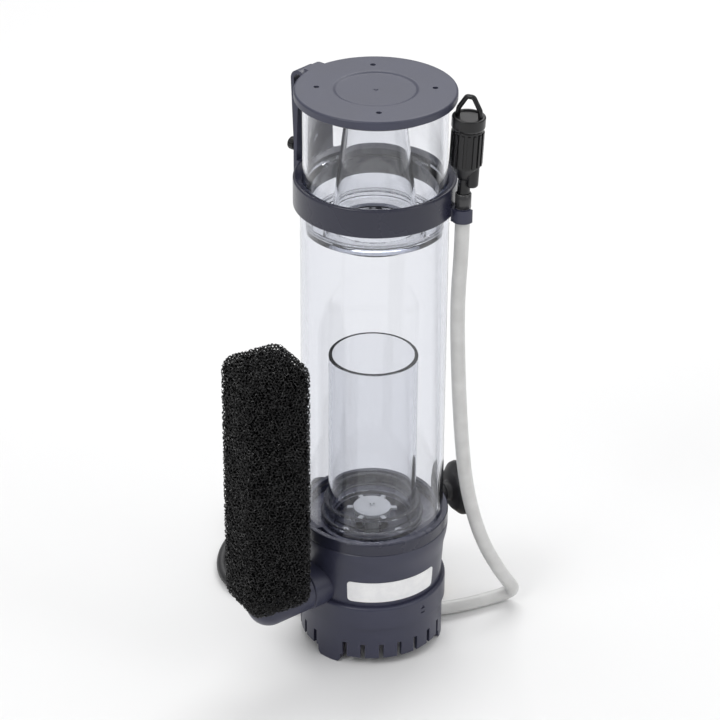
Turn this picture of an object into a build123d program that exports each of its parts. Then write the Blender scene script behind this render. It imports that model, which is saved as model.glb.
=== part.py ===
"""A nano in-tank protein skimmer: pump base, clear reaction tube, collection cup, air silencer
and an outlet elbow that carries a foam bubble trap. Millimetres, +Z up.

The origin is on the axis of the reaction tube, in the plane that the feet stand on. Azimuths are
measured from the front (-Y) towards +X."""

import math
import os

from build123d import *

os.makedirs("parts", exist_ok=True)

# ---- Driving dimensions ---------------------------------------------------------------------
slip = 0.15  # gap round a push fit inside one body
running = 0.07  # radial gap of a turning or sliding fit
clear = 0.3  # gap between pieces that move past each other

# Reaction tube and the rings at its two ends
tube_radius = 40.0
tube_wall = 3.0
tube_bottom = 77.0
tube_top = 284.0
seat_radius = tube_radius + 3.0
seat_bottom = tube_bottom - 1.0
seat_top = tube_bottom + 6.3
seam = 0.5
chamber_floor = 4.5
collar_radius = tube_radius + 3.65
collar_bottom = tube_top - 10.7
collar_top = tube_top + 6.0
collar_slope = 2.2

# Lower housing and strainer
housing_wall = 2.6
waist_radius = tube_radius - 0.4
waist_top_radius = tube_radius + 0.9
waist_top = tube_bottom - 17.0
skirt_radius = tube_radius + 2.2
skirt_top = 40.0
strainer_radius = tube_radius + 0.7
strainer_wall = 2.4
strainer_top = 26.3
strainer_edge = 5.2
spigot_height = 6.0
grid_height = 15.0
grid_thickness = 2.0
grid_hole = 4.0
slot_width = 2.6
slot_top = 14.6
slot_pitch = 15.0
first_slot = -21.5
foot_azimuths = (-36.5, 83.5, 203.5)
foot_span = 22.0
foot_depth = 5.0
foot_rounding = 3.0

# Pump
motor_wall = 2.0
magnet_radius = 8.0
well_radius = magnet_radius + 0.6
well_wall = 1.2
winding_room = 9.2
motor_radius = well_radius + well_wall + winding_room + motor_wall
motor_bottom = 30.0
motor_top = tube_bottom - 11.0
well_bottom = 35.0
magnet_length = 25.0
shaft_radius = 1.5
bush_height = 3.5
chamber_radius = motor_radius + 3.2
chamber_wall = 2.2
suction_gap = 4.0
eye_radius = 9.5
wheel_top = tube_bottom + 6.5
wheel_radius = 10.7
wheel_thickness = 2.0
wheel_hub_radius = 4.0
paddle_reach = 14.0
pin_radius = 0.6
pin_length = 5.0
screw_radius = 1.25

# Inner tube
inner_radius = chamber_radius + 0.5
inner_wall = 2.0
inner_top = tube_top - 102.5
foot_ring_radius = inner_radius + 4.1
foot_ring_height = 5.2
foot_step_radius = inner_radius + 2.7
foot_top = tube_bottom + 12.5
foot_socket_depth = 6.5

# Outlet, swivelling elbow and foam block
outlet_azimuth = -50.7
outlet_height = 47.0
outlet_spigot_radius = 9.5
boss_radius = outlet_spigot_radius + 3.5
boss_reach = tube_radius + 10.0
outlet_bore = outlet_spigot_radius - 2.0
outlet_groove = boss_reach + 6.0
outlet_groove_width = 2.2
outlet_spigot_reach = boss_reach + 11.0
elbow_radius = outlet_spigot_radius + 3.0
elbow_reach = boss_reach + 24.0
riser_radius = 9.0
riser_wall = 1.5
riser_hole = 4.0
duct_outer = waist_radius - housing_wall - 2.0
duct_inner = duct_outer - 4.5
duct_span = 26.0
duct_wall = 2.0
sponge_side = 40.0
sponge_bottom = outlet_height + 1.8
sponge_top = sponge_bottom + 154.7
riser_top = sponge_top - 38.5
sponge_azimuth = 31.0
sponge_rounding = 7.0

# Collection cup and lid
cup_radius = tube_radius - 1.4
cup_wall = 2.2
cup_top = collar_top + 46.2
skirt_bottom = tube_top - 24.0
cup_floor = 2.2
neck_wall = 1.6
neck_flare_radius = cup_radius - 12.6
neck_flare_bottom = skirt_bottom - 5.0
neck_throat_radius = neck_flare_radius - 4.0
neck_throat = skirt_bottom + 2.0
neck_top_radius = neck_throat_radius - 8.1
neck_top = cup_top - 6.2
seal_section = 1.15
lid_radius = cup_radius + 4.4
lid_top = cup_top + 2.8
lid_plate = 2.4
lid_rim_height = 4.6
lid_rim_wall = 2.2
lid_lip_depth = 5.5
lid_lip_wall = 1.2
dish_radius = lid_radius - 20.5
dish_depth = 0.8
vent_radius = 1.5
vent_circle = lid_radius - 12.0
vent_azimuths = (3.0, 92.0, 183.0, 268.0)
tab_azimuth = -131.0
tab_width = 12.5
tab_reach = lid_radius + 3.0

# Hanger bracket with its clamp screw
bracket_azimuth = tab_azimuth
bracket_gauge = 2.2
bracket_face = collar_radius + 0.35
bracket_gap = 6.4
bracket_lean = 2.2
bracket_arch = cup_top - 5.2
bracket_tip = collar_top - 4.6
bracket_foot = collar_bottom + 1.7
bracket_foot_top = collar_top - 1.5
bracket_foot_width = 27.0
bracket_plate_width = 24.0
bracket_plate_top = bracket_arch - 4.0
bracket_arm_width = 12.0
clamp_height = collar_top - 0.4
clamp_radius = 1.6
clamp_travel = 3.0
knob_radius = 3.6
knob_length = 4.0

# Suction cup
sucker_azimuth = 116.0
sucker_height = tube_bottom + 2.6
sucker_radius = 16.0
sucker_face = tube_radius + 16.5
peg_radius = 4.0
peg_reach = tube_radius + 5.5

# Silencer, its clip and the air hose
hose_azimuth = 71.0
hose_radius = 4.0
hose_offset = collar_radius + 5.35
hose_top = collar_top - 3.0
clip_bottom = collar_bottom - 2.3
clip_height = 7.5
clip_wall = 1.9
clip_mouth = 75.0
clip_turn = 25.0
silencer_tilt = 2.5
stem_radius = hose_radius - 0.6
stem_length = 10.0
silencer_radius = 8.1
silencer_wall = 1.4
silencer_taper = 6.5
silencer_length = 37.2
rib_count = 16
rib_width = 1.5
rib_height = 0.65
silencer_cap_radius = 8.9
silencer_cap_height = 7.0
loop_height = 11.8
loop_width = 12.8
loop_bar = 1.3
lobe_radius = 3.4
lobe_offset = 4.7
lobe_turn = 15.0
air_inlet_azimuth = 103.0
air_inlet_reach = 30.0
air_inlet_height = 6.5

# Mains lead, coil and plug
cord_radius = 3.0
gland_azimuth = -111.5
gland_reach = strainer_radius - 3.7
gland_height = 5.4
gland_root_radius = cord_radius + 2.0
gland_tip_radius = cord_radius + 0.7
gland_start = 15.0
coil_centre = (-42.0, 105.0)
coil_mean_radius = 33.0
coil_turns_across = 3
coil_layers = 2
coil_turns = 5.42
plug_length = 30.0
plug_width = 14.0
plug_height = 13.6
plug_relief = 18.0
pin_spacing = 8.0
plug_pin_radius = 2.0
plug_pin_length = 19.0

# Routes of the free cords, chosen by hand
hose_route = [
    (46.33, -15.95, 287.0),
    (46.33, -15.95, 256.0),
    (44.6, -15.3, 221.0),
    (46.2, -13.0, 178.0),
    (48.8, -9.0, 137.0),
    (52.0, -3.8, 104.0),
    (57.0, 2.2, 77.0),
    (64.0, 9.0, 52.0),
    (72.3, 15.3, 32.4),
    (79.2, 20.3, 18.6),
    (83.6, 24.6, 10.2),
    (80.6, 27.6, 5.2),
    (71.8, 23.8, 4.1),
    (56.5, 16.6, 4.1),
    (41.7, 11.0, 4.7),
]
cord_route = [
    (-34.4, 13.55, 5.4),
    (-53.5, 21.0, 3.4),
    (-74.0, 27.0, 3.1),
    (-87.4, 40.0, 3.1),
    (-92.0, 57.5, 3.1),
    (-88.5, 77.0, 3.1),
    (-82.6, 95.0, 3.1),
]
tail_route = [
    (-3.1, 119.4, 9.1),
    (3.3, 111.7, 8.8),
    (8.6, 103.0, 8.0),
    (12.4, 93.7, 7.0),
]

# ---- Derived sizes --------------------------------------------------------------------------
tube_bore = tube_radius - tube_wall
housing_bore = waist_radius - housing_wall
strainer_bore = strainer_radius - strainer_wall
seat_spigot = housing_bore + 2.2
chamber_underside = tube_bottom - chamber_floor
wheel_bottom = wheel_top - wheel_thickness
pump_floor = motor_top + suction_gap
slot_azimuths = [first_slot + slot_pitch * step for step in range(24)]


# ---- Helpers --------------------------------------------------------------------------------
def outward(azimuth, distance=1.0, height=0.0):
    """The point at an azimuth, a distance from the axis and a height."""
    angle = math.radians(azimuth)
    return Vector(distance * math.sin(angle), -distance * math.cos(angle), height)


def facing(azimuth, distance, height):
    """A plane at a point, with its normal outwards and its local Y up."""
    return Plane(
        origin=outward(azimuth, distance, height),
        x_dir=Vector(0, 0, 1).cross(outward(azimuth)),
        z_dir=outward(azimuth),
    )


def section(origin, along, across):
    """A plane whose local Y runs along a direction and local X across it."""
    return Plane(origin=origin, x_dir=across, z_dir=Vector(across).cross(Vector(along)))


def profile(*corners, plane=Plane.XZ):
    """A closed face through corners of (radius, height) or (radius, height, rounding)."""
    with BuildSketch(plane) as face:
        with BuildLine():
            Polyline(*[corner[:2] for corner in corners], close=True)
        make_face()
        for radius, height, *rounding in corners:
            if rounding:
                fillet(face.vertices().sort_by_distance((radius, height, 0))[0], rounding[0])
    return face.sketch


def pipe_profile(bore, radius, low, high, rounding=0.0, plane=Plane.XZ):
    """The section of a plain ring or tube."""
    if not rounding:
        return profile((bore, low), (radius, low), (radius, high), (bore, high), plane=plane)
    return profile(
        (bore, low), (radius, low, rounding), (radius, high, rounding), (bore, high), plane=plane
    )


def sector(inner, outer, azimuth, span, height):
    """A piece of a ring seen from above, centred on an azimuth."""
    turn = azimuth - 90 - span / 2
    with BuildSketch(Plane.XY.offset(height)) as face:
        with BuildLine():
            near = CenterArc((0, 0), inner, turn, span)
            far = CenterArc((0, 0), outer, turn, span)
            Line(near @ 0, far @ 0)
            Line(near @ 1, far @ 1)
        make_face()
    return face.sketch


def corner_radii(route, share=0.45):
    """The arc at each corner of a cord's route: a share of the shorter run over tan(turn / 2)."""
    points = [Vector(*point) for point in route]
    radii = []
    for before, here, after in zip(points, points[1:], points[2:]):
        turn = math.radians((here - before).get_angle(after - here))
        shorter = min((here - before).length, (after - here).length)
        radii.append(share * shorter / math.tan(turn / 2))
    return radii


def cord_path(name, route, radius):
    """A cord's line, straight runs joined by tangent arcs; prints its radii and length."""
    radii = corner_radii(route)
    with BuildLine() as path:
        FilletPolyline(*route, radius=radii)
    length = sum(edge.length for edge in path.edges())
    print(name, "length", round(length, 1), "bends in diameters",
          [round(bend / (2 * radius), 1) for bend in radii])
    return path.wire()


def save(name, builder):
    """Label a finished piece and write it."""
    builder.part.label = name
    export_step(builder.part, f"parts/{name}.step")


# ---- Strainer and lower housing ---------------------------------------------------------------
hose_notch = 2 * hose_radius + 1.6
cord_notch = 2 * cord_radius + 1.4
notches = ((air_inlet_azimuth, hose_notch, 10.4), (gland_azimuth, cord_notch, 9.6))


def near_notch(azimuth):
    """Whether a slot at this azimuth would run into a hose or cord notch."""
    for centre, width, _ in notches:
        apart = abs((azimuth - centre + 180) % 360 - 180)
        if apart < math.degrees((width + slot_width) / 2 / strainer_radius) + 1:
            return True
    return False


def near_foot(azimuth):
    """Whether a slot at this azimuth would run into a foot."""
    return any(abs((azimuth - foot + 180) % 360 - 180) < foot_span / 2 for foot in foot_azimuths)


open_slots = [a for a in slot_azimuths if not near_notch(a) and not near_foot(a)]

with BuildPart() as base_strainer:
    revolve(
        profile(
            (strainer_bore, strainer_edge),
            (strainer_radius, strainer_edge, 0.5),
            (strainer_radius, strainer_top, 0.4),
            (strainer_bore - slip, strainer_top),
            (strainer_bore - slip, strainer_top + spigot_height, 0.6),
            (strainer_bore - strainer_wall, strainer_top + spigot_height),
            (strainer_bore - strainer_wall, strainer_top - 1),
            (strainer_bore, strainer_top - 3),
        )
    )
    with BuildSketch(Plane.XY.offset(grid_height)):
        Circle(strainer_bore)
        for circle, count in ((33.0, 26), (26.5, 20)):
            with PolarLocations(circle * strainer_bore / 38.3, count):
                Circle(grid_hole / 2, mode=Mode.SUBTRACT)
    extrude(amount=grid_thickness)
    for azimuth in foot_azimuths:
        foot = sector(strainer_radius - foot_depth, strainer_radius, azimuth, foot_span, 0)
        extrude(foot, amount=slot_top)
    foot_ends = base_strainer.edges().filter_by(GeomType.LINE).filter_by(Plane.XY).group_by(Axis.Z)[0]
    fillet(foot_ends, foot_rounding)
    with BuildSketch(*[facing(a, strainer_radius, slot_top - 6) for a in open_slots]):
        Rectangle(slot_width, 12)
    extrude(amount=-2 * strainer_wall, both=True, mode=Mode.SUBTRACT)
    for azimuth, width, top in notches:
        with BuildSketch(facing(azimuth, strainer_radius, top / 2)):
            RectangleRounded(width, top, width * 0.35)
        extrude(amount=-2 * strainer_wall, both=True, mode=Mode.SUBTRACT)
        with BuildSketch(facing(azimuth, strainer_radius, top / 4)):
            Rectangle(width, top / 2)
        extrude(amount=-2 * strainer_wall, both=True, mode=Mode.SUBTRACT)
save("base_strainer", base_strainer)

outlet_axis = Axis(outward(outlet_azimuth, 0, outlet_height), outward(outlet_azimuth))
outlet_plane = section((0, 0, outlet_height), outward(outlet_azimuth), (0, 0, 1))


def housing_side():
    """The outer line of the waist and the flare above it."""
    return [(waist_radius, skirt_top), (waist_top_radius, waist_top), (seat_radius, seat_bottom - 2)]


with BuildPart() as lower_housing:
    with BuildSketch(Plane.XZ):
        with BuildLine():
            bottom, middle, top = housing_side()
            Polyline(
                top, (seat_radius, seat_bottom - seam), (seat_radius - seam, seat_bottom),
                (seat_spigot + slip, seat_bottom),
                (seat_spigot + slip, chamber_underside - 1), (housing_bore, chamber_underside - 8),
                (housing_bore, skirt_top), (strainer_bore, skirt_top - 2),
                (strainer_bore, strainer_top), (skirt_radius, strainer_top),
                (skirt_radius, skirt_top), bottom,
            )
            waist = Line(bottom, middle)
            Spline(middle, top, tangents=(waist % 1, (0, 1)))
        make_face()
    revolve(axis=Axis.Z)
    rim = lower_housing.edges().filter_by(GeomType.CIRCLE).filter_by(
        lambda edge: abs(edge.radius - skirt_radius) < 0.01
    )
    fillet(rim.sort_by(Axis.Z)[-1], 1.7)
    revolve(pipe_profile(0, boss_radius, housing_bore - 1, boss_reach, 1.0, outlet_plane),
            axis=outlet_axis)
    revolve(pipe_profile(0, outlet_spigot_radius, housing_bore - 1, outlet_spigot_reach, 0.5,
                         outlet_plane), axis=outlet_axis)
    duct_bottom = outlet_height - outlet_bore - duct_wall
    extrude(sector(duct_inner - duct_wall, housing_bore + 1, outlet_azimuth,
                   duct_span + 6, duct_bottom), amount=chamber_underside - duct_bottom)
    extrude(sector(duct_inner, duct_outer, outlet_azimuth, duct_span, duct_bottom + duct_wall),
            amount=chamber_underside, mode=Mode.SUBTRACT)
    revolve(pipe_profile(0, outlet_bore, duct_inner + 2, outlet_spigot_reach + 1, plane=outlet_plane),
            axis=outlet_axis, mode=Mode.SUBTRACT)
    revolve(pipe_profile(outlet_spigot_radius - 1.2, outlet_spigot_radius + 1, outlet_groove,
                         outlet_groove + outlet_groove_width, plane=outlet_plane),
            axis=outlet_axis, mode=Mode.SUBTRACT)
    with BuildSketch(facing(44, skirt_radius, 33)):
        Triangle(a=3.2, b=3.2, c=3.2, align=(Align.CENTER, Align.MIN))
        with Locations((0, -2.4)):
            Rectangle(2.8, 1.0)
    extrude(amount=-0.6, both=True, mode=Mode.SUBTRACT)
save("lower_housing", lower_housing)

with BuildPart() as outlet_seal:
    with BuildSketch(outlet_plane):
        with Locations((outlet_spigot_radius - 0.6, outlet_groove + outlet_groove_width / 2)):
            Circle(0.6)
    revolve(axis=outlet_axis)
save("outlet_seal", outlet_seal)

# ---- Reaction tube, its seat ring and its top collar ------------------------------------------
with BuildPart() as tube_seat_ring:
    revolve(
        profile(
            (chamber_radius, chamber_underside),
            (seat_spigot, chamber_underside),
            (seat_spigot, seat_bottom),
            (seat_radius, seat_bottom, seam),
            (seat_radius, seat_top, 0.8),
            (tube_radius, seat_top),
            (tube_radius, seat_top - 2.2),
            (tube_radius + 1.6, seat_top - 2.2),
            (tube_radius + 1.6, seat_top - 3.8),
            (tube_radius, seat_top - 3.8),
            (tube_radius, tube_bottom),
            (chamber_radius, tube_bottom),
        )
    )
    extrude(sector(duct_inner, duct_outer, outlet_azimuth, duct_span, chamber_underside - 1),
            amount=chamber_floor + 2, mode=Mode.SUBTRACT)
save("tube_seat_ring", tube_seat_ring)

with BuildPart() as tube_seal:
    with BuildSketch(Plane.XZ):
        with Locations((tube_radius + 0.8, seat_top - 3.0)):
            Circle(0.8)
    revolve(axis=Axis.Z)
save("tube_seal", tube_seal)

with BuildPart() as reaction_tube:
    revolve(profile((tube_bore, tube_bottom), (tube_radius, tube_bottom),
                    (tube_radius, tube_top, 0.3), (tube_bore, tube_top, 0.8)))
save("reaction_tube", reaction_tube)

collar_lip = cup_radius + clear + 0.1
screw_offset = 8.0
screw_azimuths = [
    bracket_azimuth + side * math.degrees(screw_offset / collar_radius) for side in (-1, 1)
]
screw_height = (bracket_foot + bracket_foot_top) / 2
screw_planes = [
    Plane(origin=outward(bracket_azimuth, collar_radius - 2.2, screw_height)
          + Vector(0, 0, 1).cross(outward(bracket_azimuth)) * (side * screw_offset),
          z_dir=outward(bracket_azimuth))
    for side in (-1, 1)
]
bracket_back = bracket_face + bracket_gauge

with BuildPart() as top_collar:
    revolve(
        profile(
            (tube_radius, collar_bottom),
            (collar_radius, collar_bottom, 0.6),
            (collar_radius, collar_top, 1.1),
            (collar_lip, collar_top - collar_slope, 0.4),
            (collar_lip, tube_top),
            (tube_radius, tube_top),
        )
    )
    with BuildSketch(*screw_planes):
        Circle(screw_radius)
    extrude(amount=6, mode=Mode.SUBTRACT)
save("top_collar", top_collar)

# ---- Pump -------------------------------------------------------------------------------------
with BuildPart() as motor_case:
    revolve(
        profile(
            (motor_radius - motor_wall, motor_bottom),
            (motor_radius, motor_bottom),
            (motor_radius, motor_top, 1.2),
            (well_radius, motor_top),
            (well_radius, well_bottom),
            (0, well_bottom),
            (0, well_bottom - well_wall),
            (well_radius + well_wall, well_bottom - well_wall),
            (well_radius + well_wall, motor_top - motor_wall),
            (motor_radius - motor_wall, motor_top - motor_wall),
        )
    )
    with PolarLocations(motor_radius, 3, start_angle=30):
        with Locations((0, 0, motor_bottom)):
            Box(5, 4, motor_top - motor_bottom - 6, align=(Align.CENTER, Align.CENTER, Align.MIN))
    revolve(pipe_profile(0, motor_radius - motor_wall, motor_bottom, motor_top - motor_wall),
            mode=Mode.SUBTRACT)
    revolve(
        profile(
            (well_radius, motor_top - motor_wall),
            (well_radius, well_bottom),
            (0, well_bottom),
            (0, well_bottom - well_wall),
            (well_radius + well_wall, well_bottom - well_wall),
            (well_radius + well_wall, motor_top - motor_wall),
        )
    )
save("motor_case", motor_case)

with BuildPart() as motor_end_cap:
    revolve(pipe_profile(0, motor_radius - motor_wall, motor_bottom, motor_bottom + 2.5))
    with BuildSketch(Plane.XY.offset(grid_height + grid_thickness)):
        with PolarLocations(motor_radius - 7, 3):
            Circle(3)
    extrude(amount=motor_bottom - grid_height - grid_thickness)
save("motor_end_cap", motor_end_cap)

pole_width = 14.0
pole_reach = motor_radius - motor_wall - 0.4
coil_side = 4.5
coil_reach = well_radius + well_wall + 3.6
stator_middle = 50.0
with BuildPart() as stator_core:
    with BuildSketch(Plane.XY.offset(stator_middle - 8)):
        Circle(pole_reach)
        Rectangle(2 * pole_reach, pole_width, mode=Mode.INTERSECT)
        Circle(well_radius + well_wall, mode=Mode.SUBTRACT)
    extrude(amount=16)
save("stator_core", stator_core)

with BuildPart() as stator_coils:
    for side in (-1, 1):
        with BuildSketch(Plane.YZ.offset(side * coil_reach - coil_side / 2)):
            with Locations((0, stator_middle)):
                RectangleRounded(pole_width + 4, 22, 2)
                Rectangle(pole_width, 16, mode=Mode.SUBTRACT)
        extrude(amount=coil_side)
save("stator_coils", stator_coils)

with BuildPart() as lower_bush:
    revolve(pipe_profile(shaft_radius, well_radius, well_bottom, well_bottom + bush_height))
save("lower_bush", lower_bush)

with BuildPart() as rotor_shaft:
    revolve(pipe_profile(0, shaft_radius, well_bottom, wheel_top - 2.4, 0.3))
save("rotor_shaft", rotor_shaft)

magnet_bottom = well_bottom + bush_height + clear
magnet_top = magnet_bottom + magnet_length
sleeve_radius = 2.7
with BuildPart() as rotor_magnet:
    revolve(profile((sleeve_radius, magnet_bottom), (magnet_radius, magnet_bottom, 0.5),
                    (magnet_radius, magnet_top, 0.5), (sleeve_radius, magnet_top)))
save("rotor_magnet", rotor_magnet)

with BuildPart() as pin_wheel:
    revolve(
        profile(
            (shaft_radius + running, magnet_bottom),
            (sleeve_radius, magnet_bottom),
            (sleeve_radius, magnet_top),
            (wheel_hub_radius, magnet_top),
            (wheel_hub_radius, wheel_bottom),
            (wheel_radius, wheel_bottom),
            (wheel_radius, wheel_top, 0.4),
            (0, wheel_top),
            (0, wheel_top - 1.8),
            (shaft_radius + running, wheel_top - 1.8),
        )
    )
    with BuildSketch(Plane.XY.offset(wheel_bottom)):
        with PolarLocations((wheel_radius + paddle_reach) / 2 - 0.5, 6):
            Rectangle(paddle_reach - wheel_radius + 1, 2.6)
    extrude(amount=wheel_thickness * 0.6)
    with BuildSketch(Plane.XY.offset(wheel_bottom)):
        with PolarLocations(wheel_radius - 1.6, 12):
            Circle(pin_radius)
        with PolarLocations(wheel_radius - 4.4, 8, start_angle=20):
            Circle(pin_radius)
    extrude(amount=-pin_length)
    with BuildSketch(Plane.XY.offset(wheel_top)):
        with Locations((-1.0, 0), (1.0, 0)):
            Rectangle(0.8, 5)
        Rectangle(2, 0.8)
    extrude(amount=-0.8, mode=Mode.SUBTRACT)
save("pin_wheel", pin_wheel)

post_circle = motor_radius - 4
with BuildPart() as pump_chamber:
    revolve(
        profile(
            (eye_radius, pump_floor),
            (chamber_radius, pump_floor),
            (chamber_radius, tube_bottom),
            (chamber_radius - chamber_wall, tube_bottom),
            (chamber_radius - chamber_wall, pump_floor + 2, 1.0),
            (eye_radius, pump_floor + 2),
        )
    )
    with BuildSketch(Plane.XY.offset(motor_top)):
        with PolarLocations(post_circle, 3, start_angle=90):
            Circle(3)
    extrude(amount=suction_gap)
    with BuildSketch(Plane.XY.offset(motor_top - 1)):
        with PolarLocations(post_circle, 3, start_angle=90):
            Circle(screw_radius)
    extrude(amount=12, mode=Mode.SUBTRACT)
save("pump_chamber", pump_chamber)

with BuildPart() as pump_screws:
    with BuildSketch(Plane.XY.offset(motor_top)):
        with PolarLocations(post_circle, 3, start_angle=90):
            Circle(screw_radius)
    extrude(amount=suction_gap + 2)
    with BuildSketch(Plane.XY.offset(pump_floor + 2)):
        with PolarLocations(post_circle, 3, start_angle=90):
            Circle(2.3)
            Rectangle(3, 0.6, mode=Mode.SUBTRACT)
    extrude(amount=1.5)
save("pump_screws", pump_screws)

# ---- Inner tube -------------------------------------------------------------------------------
socket_floor = foot_top - foot_socket_depth
inner_bore = inner_radius - inner_wall
with BuildPart() as inner_tube_foot:
    revolve(
        profile(
            (inner_bore, tube_bottom),
            (foot_ring_radius, tube_bottom, 0.4),
            (foot_ring_radius, tube_bottom + foot_ring_height, 0.9),
            (foot_step_radius, tube_bottom + foot_ring_height),
            (foot_step_radius, foot_top, 0.8),
            (inner_radius, foot_top),
            (inner_radius, socket_floor),
            (inner_bore, socket_floor),
        )
    )
save("inner_tube_foot", inner_tube_foot)

with BuildPart() as inner_tube:
    revolve(pipe_profile(inner_bore, inner_radius, socket_floor, inner_top, 0.5))
save("inner_tube", inner_tube)

# ---- Collection cup and lid -------------------------------------------------------------------
seal_height = skirt_bottom + 4.5
skirt_outer = tube_bore - slip - 0.2
skirt_inner = skirt_outer - cup_wall
seal_centre = tube_bore - running - seal_section
shoulder = tube_top + clear
neck_foot_radius = neck_throat_radius + neck_wall

with BuildPart() as collection_cup:
    revolve(
        profile(
            (neck_foot_radius, skirt_bottom),
            (skirt_outer, skirt_bottom, 0.5),
            (skirt_outer, seal_height - seal_section),
            (seal_centre - seal_section, seal_height - seal_section),
            (seal_centre - seal_section, seal_height + seal_section),
            (skirt_outer, seal_height + seal_section),
            (skirt_outer, shoulder),
            (cup_radius, shoulder),
            (cup_radius, cup_top, 0.5),
            (cup_radius - cup_wall, cup_top, 0.5),
            (cup_radius - cup_wall, shoulder + 2.5),
            (skirt_inner - 0.6, shoulder - 1, 3.0),
            (skirt_inner - 0.6, skirt_bottom + cup_floor, 1.5),
            (neck_foot_radius, skirt_bottom + cup_floor),
        )
    )
save("collection_cup", collection_cup)

with BuildPart() as foam_riser:
    revolve(
        profile(
            (neck_flare_radius, neck_flare_bottom),
            (neck_flare_radius + neck_wall, neck_flare_bottom),
            (neck_foot_radius, skirt_bottom),
            (neck_foot_radius, skirt_bottom + cup_floor),
            (neck_top_radius + neck_wall, neck_top, 0.6),
            (neck_top_radius, neck_top, 0.6),
            (neck_throat_radius, neck_throat, 6.0),
        )
    )
save("foam_riser", foam_riser)

with BuildPart() as cup_seal:
    with BuildSketch(Plane.XZ):
        with Locations((seal_centre, seal_height)):
            Circle(seal_section)
    revolve(axis=Axis.Z)
save("cup_seal", cup_seal)

lid_underside = lid_top - lid_plate
lip_radius = cup_radius - cup_wall - clear
with BuildPart() as lid:
    revolve(
        profile(
            (0, lid_underside),
            (lip_radius - lid_lip_wall, lid_underside),
            (lip_radius - lid_lip_wall, lid_underside - lid_lip_depth),
            (lip_radius, lid_underside - lid_lip_depth, 0.4),
            (lip_radius, lid_underside),
            (lid_radius - lid_rim_wall, lid_underside),
            (lid_radius - lid_rim_wall, lid_top - lid_rim_height),
            (lid_radius, lid_top - lid_rim_height, 0.5),
            (lid_radius, lid_top, 1.2),
            (dish_radius, lid_top, 2.0),
            (dish_radius - 1.6, lid_top - dish_depth, 1.5),
            (1.2, lid_top - dish_depth),
            (0.8, lid_top - dish_depth + 0.5, 0.2),
            (0, lid_top - dish_depth + 0.5),
        )
    )
    with BuildSketch(facing(tab_azimuth, lid_radius - 3, lid_top - lid_plate / 2)):
        Rectangle(tab_width, lid_plate)
    extrude(amount=tab_reach - lid_radius + 3)
    tab_corners = lid.edges().filter_by(Axis.Z).filter_by(
        lambda edge: math.hypot(edge.center().X, edge.center().Y) > lid_radius + 1
    )
    fillet(tab_corners, 1.5)
    with BuildSketch(Plane.XY.offset(lid_top)):
        with Locations(*[outward(a, vent_circle) for a in vent_azimuths]):
            Circle(vent_radius)
    extrude(amount=-2 * lid_plate, mode=Mode.SUBTRACT)
save("lid", lid)

# ---- Hanger bracket ---------------------------------------------------------------------------
bracket_section = section((0, 0, 0), (0, 0, 1), outward(bracket_azimuth))
arch_inner = bracket_gap / 2
arch_outer = arch_inner + bracket_gauge
arch_centre = bracket_back + arch_inner
arm_tip = bracket_back + bracket_gap - bracket_lean
clamp_plane = section(outward(bracket_azimuth, 0, clamp_height), outward(bracket_azimuth), (0, 0, 1))
clamp_axis = Axis(outward(bracket_azimuth, 0, clamp_height), outward(bracket_azimuth))

with BuildPart() as hanger_bracket:
    with BuildSketch(bracket_section) as arch:
        with BuildLine():
            outer_arc = CenterArc((arch_centre, bracket_arch), arch_outer, 0, 180)
            inner_arc = CenterArc((arch_centre, bracket_arch), arch_inner, 0, 180)
            Polyline(outer_arc @ 0, (arm_tip + bracket_gauge, bracket_tip),
                     (arm_tip, bracket_tip), inner_arc @ 0)
            Polyline(outer_arc @ 1, (bracket_face, bracket_foot), (bracket_back, bracket_foot),
                     inner_arc @ 1)
        make_face()
    extrude(amount=bracket_arm_width / 2, both=True)
    with BuildSketch(facing(bracket_azimuth, bracket_face, 0)):
        half, plate = bracket_foot_width / 2, bracket_plate_width / 2
        Polygon((-half, bracket_foot), (half, bracket_foot), (half, bracket_foot_top + 4),
                (plate, bracket_plate_top), (-plate, bracket_plate_top),
                (-half, bracket_foot_top + 4), align=None)
    extrude(amount=bracket_gauge)
    with BuildSketch(facing(bracket_azimuth, tube_radius - 1, 0)):
        with Locations((0, (bracket_foot + bracket_foot_top) / 2)):
            Rectangle(bracket_foot_width, bracket_foot_top - bracket_foot)
    extrude(amount=bracket_back - tube_radius + 1)
    revolve(pipe_profile(0, collar_radius, collar_bottom - 20, collar_top + 20), mode=Mode.SUBTRACT)
    with BuildSketch(*screw_planes):
        Circle(screw_radius)
    extrude(amount=10, mode=Mode.SUBTRACT)
    revolve(pipe_profile(0, clamp_radius + running, arm_tip - 2, arm_tip + 8, plane=clamp_plane),
            axis=clamp_axis, mode=Mode.SUBTRACT)
save("hanger_bracket", hanger_bracket)

with BuildPart() as bracket_screws:
    with BuildSketch(*screw_planes):
        Circle(screw_radius)
    extrude(amount=bracket_back - collar_radius + 2.2)
    with BuildSketch(*[plane.offset(bracket_back - collar_radius + 2.2) for plane in screw_planes]):
        Circle(2.4)
        Rectangle(3.2, 0.6, mode=Mode.SUBTRACT)
        Rectangle(0.6, 3.2, mode=Mode.SUBTRACT)
    extrude(amount=1.3)
save("bracket_screws", bracket_screws)

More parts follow.
